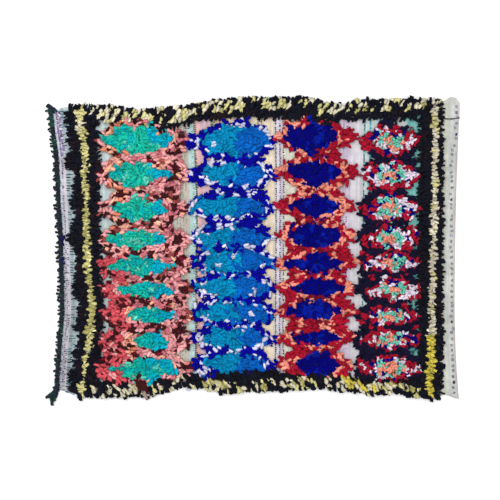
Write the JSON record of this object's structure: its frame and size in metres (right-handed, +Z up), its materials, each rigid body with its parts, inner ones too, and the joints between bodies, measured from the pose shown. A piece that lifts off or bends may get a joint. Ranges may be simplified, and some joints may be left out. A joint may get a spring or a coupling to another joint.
{
  "type": "boucherouite rug",
  "caption": "Flat-lying hand-knotted rag rug with a lumpy shag pile, lozenge columns inside striped borders, a fringed left end and a plain hemmed right end.",
  "frame": {"origin": "on the floor, under the middle of the rug's whole outline", "axes": "+X along the rug towards its hemmed end, +Y across it, +Z up from the floor through the pile"},
  "size_m": [1.6512, 1.237, 0.0259],
  "materials": {
    "rag_pile": "matte cut rag strips of many colours on a flat weave",
    "dark_rags": "matte dark green and navy rag ends"
  },
  "bodies": {
    "root": {"rug_body": "rag_pile", "left_end_fringe": "dark_rags"}
  },
  "joints": []
}
